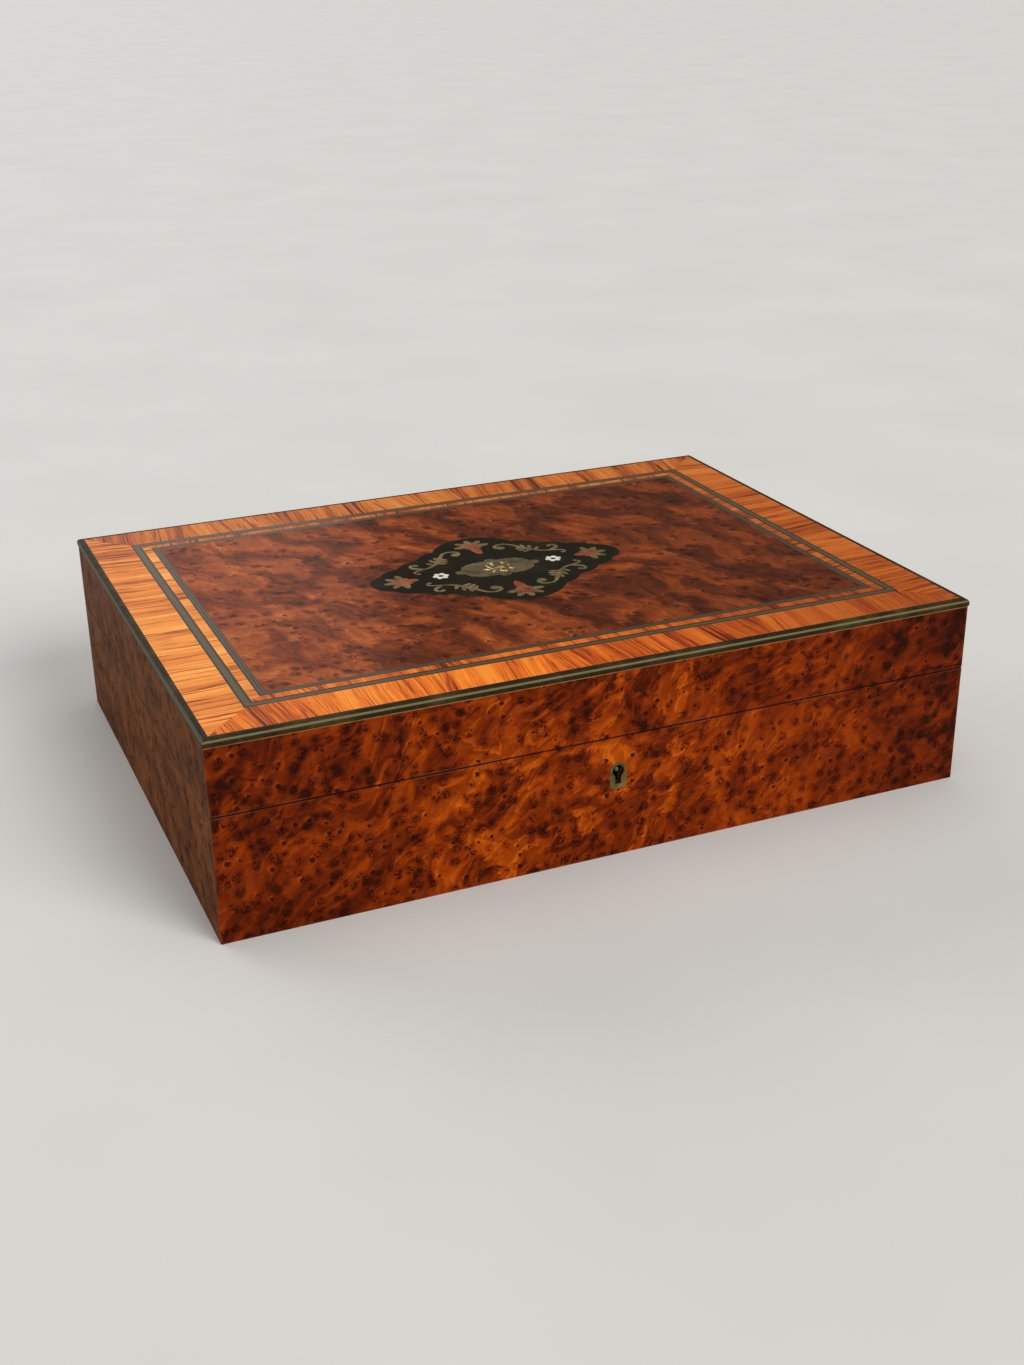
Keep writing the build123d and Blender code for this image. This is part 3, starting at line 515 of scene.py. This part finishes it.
def dark_band(name, outer_edge, stripes):
    """A dark border line made of stripes, each a share of its width and a colour."""
    s = Shader(name)
    from_end, from_face = s.edge_distances()
    depth = s.math("MINIMUM", from_end, from_face)
    width = outer_edge.x - stripes["inner"].x
    share = s.math("DIVIDE", s.math("SUBTRACT", depth, half_x - outer_edge.x), width)
    on_long = s.math("GREATER_THAN", from_end, from_face)
    run = s.choose(on_long, s.y, s.x)
    lines = s.noise(s.join(s.times(run, 0.05), s.times(depth, 1.6)), 0.5, 3, 0.6)
    share = s.total(share, s.deviation(s.noise(s.place, 5.0, 3), 0.03))
    colour = s.ramp(share, stripes["stops"])
    colour = s.mix(s.times(s.step(lines, 0.35, 0.75), 0.3), colour, faded_olive)
    return s.finish(
        base_color=colour,
        roughness=s.along(lines, 0.2, 0.8, [(0, 0.3), (1, 0.45)]),
        specular_ior_level=0.05,
        coat_weight=0.4,
        coat_ior=1.25,
        coat_roughness=0.1,
        normal=s.bump(lines, 0.02),
    )


outer_dark = dark_band(
    "outer_dark_band",
    outer_band_edge,
    {
        "inner": light_line_edge,
        "stops": [(0.0, black), (0.17, black), (0.23, olive), (0.74, olive), (0.81, black)],
    },
)
inner_dark = dark_band(
    "inner_dark_band",
    inner_band_edge,
    {
        "inner": field_edge,
        "stops": [
            (0.0, black),
            (0.2, black),
            (0.27, olive),
            (0.48, olive),
            (0.54, black),
            (0.64, black),
            (0.7, olive),
            (0.86, olive),
            (0.9, black),
        ],
    },
)


def ebonised(name, dark, rubbed_colour, roughness, coat, highlight_height=None):
    """Wood stained black and brown where it has rubbed, with a painted highlight line at a given
    height.
    """
    s = Shader(name)
    grain = s.noise(s.join(s.times(s.x, 0.35), s.times(s.y, 0.35), s.times(s.z, 1.4)), 0.7, 4)
    patches = s.step(s.noise(s.place, 14.0, 4, 0.6), 0.45, 0.75)
    colour = s.mix(s.times(patches, 0.5), dark, rubbed_colour)
    colour = s.mix(s.times(s.step(grain, 0.5, 0.8), 0.3), colour, rubbed_colour)
    if highlight_height:
        # Painted highlight: a light olive line along the bead's rounded top
        colour = s.mix(s.times(s.near(s.z, highlight_height, 0.1, 0.6), 0.6), colour, srgb(132, 118, 80))
    handled = s.noise(s.place, 9.0, 3)
    return s.finish(
        base_color=colour,
        roughness=s.along(handled, 0.3, 0.7, [(0, roughness), (1, roughness + 0.12)]),
        specular_ior_level=0.0,
        coat_weight=coat,
        coat_ior=1.25,
        coat_roughness=0.12,
        normal=s.bump(grain, 0.02),
    )


# Height of the bead's painted highlight, 1 mm below its top
bead_highlight_height = corner_mm("edge_bead").z - 1.0
bead_colours = [srgb(38, 32, 16), srgb(86, 72, 40)]
ground_colours = [srgb(27, 24, 15), srgb(48, 42, 25)]
edge_bead = ebonised("edge_bead", *bead_colours, 0.36, 0.3, bead_highlight_height)
ebony_ground = ebonised("cartouche_ground", *ground_colours, 0.3, 0.25)


def plain_wood(name, tones, grain_axis, stretch, polish):
    """Straight-grained wood with its grain along an axis."""
    s = Shader(name)
    scale = {axis: 1.0 for axis in "xyz"}
    scale[grain_axis] = stretch
    place = s.join(s.times(s.x, scale["x"]), s.times(s.y, scale["y"]), s.times(s.z, scale["z"]))
    bent = s.warp(place, 12.0, 1.6, 2)
    figure = s.noise(bent, 5.5, 4, 0.55, 0.6)
    fine = s.noise(place, 0.8, 3, 0.6)
    tone = s.total(s.times(figure, 1.3), s.times(fine, 0.5), -0.42)
    return s.finish(
        base_color=s.ramp(tone, tones),
        roughness=s.along(fine, 0.2, 0.8, [(0, 0.62 - polish), (1, 0.48 - polish)]),
        specular_ior_level=0.2,
        coat_weight=polish,
        coat_ior=1.3,
        coat_roughness=0.15,
        normal=s.bump(s.total(fine, s.times(figure, 0.4)), 0.05),
    )


oak_tones = [(0.0, srgb(96, 66, 40)), (0.5, srgb(150, 112, 74)), (1.0, srgb(188, 152, 108))]
rosewood_tones = [(0.0, srgb(34, 13, 9)), (0.5, srgb(88, 40, 24)), (1.0, srgb(140, 74, 44))]
sycamore_tones = [(0.0, srgb(158, 106, 60)), (0.5, srgb(198, 148, 94)), (1.0, srgb(222, 180, 126))]
honey_tones = [(0.0, srgb(84, 46, 18)), (0.5, srgb(138, 88, 38)), (1.0, srgb(176, 118, 54))]
oak_x = plain_wood("carcass_oak_x", oak_tones, "x", 0.06, 0.0)
oak_y = plain_wood("carcass_oak_y", oak_tones, "y", 0.06, 0.0)
rosewood_x = plain_wood("rosewood_x", rosewood_tones, "x", 0.07, 0.25)
rosewood_y = plain_wood("rosewood_y", rosewood_tones, "y", 0.07, 0.25)
pale_wood = plain_wood("pale_wood", sycamore_tones, "x", 0.08, 0.15)
honey_line = plain_wood("honey_line", honey_tones, "z", 0.3, 0.1)
rim_wood = plain_wood("rim_wood", rosewood_tones, "x", 0.1, 0.3)


def metal(name, tones, roughness, groove=None, depth=0.05, painted_glint=None):
    """Old polished metal: tarnish in patches, fine scratches, engraved lines and painted glints."""
    s = Shader(name)
    tarnish = s.noise(s.warp(s.place, 6.0, 2.0), 5.0, 5, 0.62)
    colour = s.ramp(tarnish, tones)
    rubbing = s.join(s.times(s.x, 0.12), s.times(s.y, 1.4), s.times(s.z, 1.4))
    scratch = s.noise(s.vector("ADD", s.warp(rubbing, 20.0, 5.0), (7.0, 3.0, 0.0)), 0.35, 2, 0.6)
    height = s.times(scratch, 0.15)
    if groove:
        engraved = groove(s)
        colour = s.mix(s.times(engraved, 0.75), colour, tones[0][1])
        height = s.total(height, s.times(engraved, -1))
    metallic = 1.0
    # Painted glints: bright gold, not metallic, where the cuts would catch the light
    if painted_glint:
        bright = painted_glint(s)
        colour = s.mix(bright, colour, srgb(255, 224, 138))
        metallic = s.inverse(bright)
    return s.finish(
        base_color=colour,
        metallic=metallic,
        roughness=s.along(tarnish, 0.3, 0.7, [(0, roughness + 0.2), (1, roughness)]),
        normal=s.bump(height, depth),
    )


def from_plaque(s, flatten=1.0):
    """Place and distance from the middle of the plaque, and the direction out of it."""
    low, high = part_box("cartouche_plaque")
    centre = (low + high) / 2 / mm
    x = s.math("SUBTRACT", s.x, centre.x)
    y = s.times(s.math("SUBTRACT", s.y, centre.y), flatten)
    radius = s.math("SQRT", s.total(s.times(x, x), s.times(y, y)))
    return x, y, radius, s.math("ARCTAN2", y, x)


def rosette_lines(s):
    """Engraving of the plaque: petals round a middle ring, and hatching inside the edge."""
    x, y, radius, angle = from_plaque(s, flatten=1.25)
    edge = s.total(3.2, s.times(s.ripple(angle, 4.0), 4.4))
    outline = s.near(radius, edge, 0.1, 0.42)
    vein = s.fall(s.ripple(angle, 8.0), 0.08, 0.3)
    vein = s.times(vein, s.times(s.step(radius, 2.2, 2.8), s.fall(radius, 6.2, 7.2)))
    ring = s.near(radius, 1.7, 0.1, 0.4)
    hatch = s.fall(s.ripple(s.total(x, y), 2.6), 0.1, 0.5)
    hatch = s.times(hatch, s.times(s.step(radius, 8.4, 9.0), 0.5))
    return s.math("MAXIMUM", s.math("MAXIMUM", outline, vein), s.math("MAXIMUM", ring, hatch))


def painted_rosette_glints(s):
    """Painted glints in the middle of the plaque, scattered along its petals, standing in for cuts
    that catch the light.
    """
    _, _, radius, angle = from_plaque(s)
    angle = s.total(angle, s.times(s.noise(s.place, 3.0, 2), 1.2))
    stroke = s.fall(s.ripple(angle, 4.0), 0.3, 0.7)
    broken = s.step(s.noise(s.place, 1.8, 2, 0.5), 0.48, 0.54)
    return s.times(s.times(stroke, broken), s.fall(radius, 5.5, 8.0))


def shell_lines(s):
    """Rays of the shells, drawn from the middle of the cartouche outwards."""
    angle = s.math("ARCTAN2", s.y, s.times(s.x, 0.75))
    return s.fall(s.ripple(angle, 90.0), 0.15, 0.6)


def leaf_lines(s):
    """Veins of the copper leaves: strong lines that run outwards, about 1 mm apart."""
    x = s.math("ABSOLUTE", s.x)
    y = s.math("ABSOLUTE", s.y)
    along_y = s.math("GREATER_THAN", y, x)
    across = s.choose(along_y, y, x)
    bent = s.total(across, s.times(s.noise(s.place, 4.0, 2), 1.2))
    return s.fall(s.ripple(bent, 2.9), 0.25, 0.7)


def scroll_lines(s):
    """Short engraved strokes that follow the scrolls' lean, mirrored in each quarter."""
    x = s.math("ABSOLUTE", s.x)
    y = s.math("ABSOLUTE", s.y)
    bent = s.warp(s.join(x, y), 5.0, 1.6)
    bent_x, bent_y, _ = s.split(bent)
    stroke = s.ripple(s.total(s.times(bent_x, 0.55), bent_y), 3.4)
    return s.times(s.fall(stroke, 0.1, 0.5), 0.6)


old_brass = [(0.3, srgb(98, 78, 42)), (0.5, srgb(152, 127, 76)), (0.72, srgb(190, 164, 108))]
dark_brass = [(0.3, srgb(78, 62, 34)), (0.5, srgb(124, 104, 62)), (0.72, srgb(160, 136, 86))]
dull_brass = [(0.3, srgb(74, 62, 34)), (0.5, srgb(118, 102, 60)), (0.72, srgb(160, 142, 90))]
bright_brass = [(0.3, srgb(146, 118, 66)), (0.5, srgb(184, 154, 90)), (0.72, srgb(208, 180, 114))]
old_copper = [(0.3, srgb(110, 46, 20)), (0.5, srgb(198, 98, 48)), (0.72, srgb(226, 130, 74))]
grey_steel = [(0.3, srgb(70, 68, 66)), (0.5, srgb(122, 120, 118)), (0.72, srgb(160, 158, 154))]
scroll_brass = metal("scroll_brass", old_brass, 0.34, groove=scroll_lines)
shell_brass = metal("shell_brass", old_brass, 0.34, groove=shell_lines)
plaque_brass = metal(
    "plaque_brass", dark_brass, 0.3, groove=rosette_lines, depth=0.12, painted_glint=painted_rosette_glints
)
leaf_copper = metal("leaf_copper", old_copper, 0.34, groove=leaf_lines)
fitting_brass = metal("fitting_brass", bright_brass, 0.24)
keyhole_brass = metal("keyhole_brass", dull_brass, 0.34)
lock_steel = metal("lock_steel", grey_steel, 0.34)


def pearl(name):
    """Mother-of-pearl: white with soft bands of pink and green."""
    s = Shader(name)
    bands = s.noise(s.warp(s.place, 2.5, 1.2), 1.8, 3, 0.5, 1.0)
    stops = [
        (0.3, srgb(176, 186, 168)),
        (0.45, srgb(228, 220, 200)),
        (0.58, srgb(236, 214, 206)),
        (0.72, srgb(206, 220, 212)),
    ]
    return s.finish(
        base_color=s.ramp(bands, stops),
        roughness=0.2,
        specular_ior_level=0.6,
        coat_weight=0.5,
        coat_roughness=0.05,
        normal=s.bump(bands, 0.03),
    )


def velvet(name, pile, worn_pile):
    """Short-pile cloth, glued down, a little rubbed and pressed."""
    s = Shader(name)
    tufts = s.noise(s.place, 0.35, 2, 0.7)
    pressed = s.step(s.noise(s.warp(s.place, 14.0, 5.0), 16.0, 4, 0.6), 0.4, 0.7)
    colour = s.mix(s.times(pressed, 0.55), pile, worn_pile)
    colour = s.mix(s.times(tufts, 0.5), colour, srgb(20, 4, 6))
    return s.finish(
        base_color=colour,
        roughness=0.95,
        specular_ior_level=0.1,
        sheen_weight=0.55,
        sheen_roughness=0.35,
        sheen_tint=srgb(226, 138, 130),
        normal=s.bump(tufts, 0.12),
    )


lining = velvet("lining_velvet", srgb(112, 20, 26), srgb(142, 48, 46))
mother_of_pearl = pearl("mother_of_pearl")
box_lid_burr = burr(
    "counter_box_burr", "x", "y", 2100.0, top_tones, even_light, even_eyes, side_look, wear_and_highlight=0.0
)


def dress(material, *names):
    """Gives CAD nodes a material."""
    for name in names:
        mesh = nodes[name].data
        mesh.materials.clear()
        mesh.materials.append(material)


boxes = ["front_left", "front_right", "back_left", "back_right"]
dress(burr_front, "base_front_veneer", "lid_front_veneer")
dress(burr_back, "base_back_veneer", "lid_back_veneer")
dress(burr_left, "base_left_veneer", "lid_left_veneer")
dress(burr_right, "base_right_veneer", "lid_right_veneer")
dress(burr_top, "burr_top_field")
dress(crossband, "crossband")
dress(light_line, "light_line")
dress(honey_line, "line_under_bead")
dress(outer_dark, "outer_dark_band")
dress(inner_dark, "inner_dark_band")
dress(edge_bead, "edge_bead")
dress(ebony_ground, "cartouche_ground")
dress(scroll_brass, "cartouche_scrolls")
dress(shell_brass, "cartouche_shells")
dress(leaf_copper, "cartouche_leaves")
dress(plaque_brass, "cartouche_plaque")
dress(mother_of_pearl, "cartouche_flowers")
dress(keyhole_brass, "keyhole_escutcheon")
dress(fitting_brass, "lock_plate", "link_plate", "link_staples", "lid_screws", "base_screws")
dress(fitting_brass, "hinge_lower_leaves", "hinge_upper_leaves", "hinge_pins")
dress(lock_steel, "lock_case", "lock_studs", "lock_drill_pin", "lock_spring", "lock_bolt")
dress(oak_x, "base_front_board", "base_back_board", "base_bottom_panel")
dress(oak_x, "lid_front_rail", "lid_back_rail", "lid_top_panel")
dress(oak_y, "base_left_board", "base_right_board", "lid_left_rail", "lid_right_rail")
dress(rim_wood, "base_rim_banding", "lid_rim_banding")
dress(lining, "base_lining", "lid_lining")
dress(rosewood_x, "long_dividers")
dress(rosewood_y, "cross_dividers", "card_dividers")
dress(pale_wood, *[f"counter_box_{box}_tray" for box in boxes])
dress(box_lid_burr, *[f"counter_box_{box}_lid" for box in boxes])


# Floor, wide enough to fill the picture
floor_reach = 14.0
floor_tones = [(0.3, srgb(205, 203, 199)), (0.7, srgb(210, 208, 204))]
paper = Shader("floor")
paper_colour = paper.ramp(paper.noise(paper.place, 140.0, 3, 0.5), floor_tones)
paper.finish(base_color=paper_colour, roughness=0.7, specular_ior_level=0.2)
ends = (-floor_reach, floor_reach)
floor_corners = [(x, y, 0) for y in ends for x in ends]
floor_mesh = bpy.data.meshes.new("floor")
floor_mesh.from_pydata(floor_corners, [], [(0, 1, 3, 2)])
floor_mesh.materials.append(paper.material)
floor = bpy.data.objects.new("floor", floor_mesh)
bpy.context.scene.collection.objects.link(floor)


def add_sun(name, direction, strength, spread):
    """Even light that comes from a direction, softened over a disc of sky of some degrees."""
    sun = bpy.data.lights.new(name, "SUN")
    sun.energy = strength
    sun.angle = radians(spread)
    obj = bpy.data.objects.new(name, sun)
    obj.rotation_euler = Vector(direction).to_track_quat("Z", "Y").to_euler()
    obj.visible_camera = False
    bpy.context.scene.collection.objects.link(obj)


add_sun("key", (0.35, -0.75, 0.56), 2.3, 34)
add_sun("overhead", (0, 0, 1), 0.9, 60)
add_sun("window", (-1.0, 1.5, 0.71), 0.76, 30)
add_sun("sheen", (-0.1, 0.9, 0.41), 0.42, 46)
world = bpy.data.worlds.new("studio")
world.use_nodes = True
world.node_tree.nodes["Background"].inputs["Color"].default_value = srgb(236, 235, 232)
world.node_tree.nodes["Background"].inputs["Strength"].default_value = 0.3
bpy.context.scene.world = world

# Camera, at the photograph's place
camera_place = (-0.26701, -0.64016, 0.33163)
camera_azimuth = radians(23.1)
camera_pitch = radians(23.71)
camera_roll = radians(-0.75)
picture_height = 1365
focal_pixels = 1689.2

forward = Vector(
    (
        sin(camera_azimuth) * cos(camera_pitch),
        cos(camera_azimuth) * cos(camera_pitch),
        -sin(camera_pitch),
    )
)
level_right = Vector((cos(camera_azimuth), -sin(camera_azimuth), 0))
level_up = level_right.cross(forward)
right = level_right * cos(camera_roll) + level_up * sin(camera_roll)
up = right.cross(forward)
lens = bpy.data.cameras.new("camera")
lens.sensor_fit = "VERTICAL"
lens.sensor_height = 36.0
lens.lens = lens.sensor_height * focal_pixels / picture_height
lens.clip_start = 0.01
camera = bpy.data.objects.new("camera", lens)
turn = Matrix((right, up, -forward)).transposed().to_4x4()
camera.matrix_world = Matrix.Translation(camera_place) @ turn
bpy.context.scene.collection.objects.link(camera)
bpy.context.scene.camera = camera
bpy.context.scene.view_settings.view_transform = "Standard"
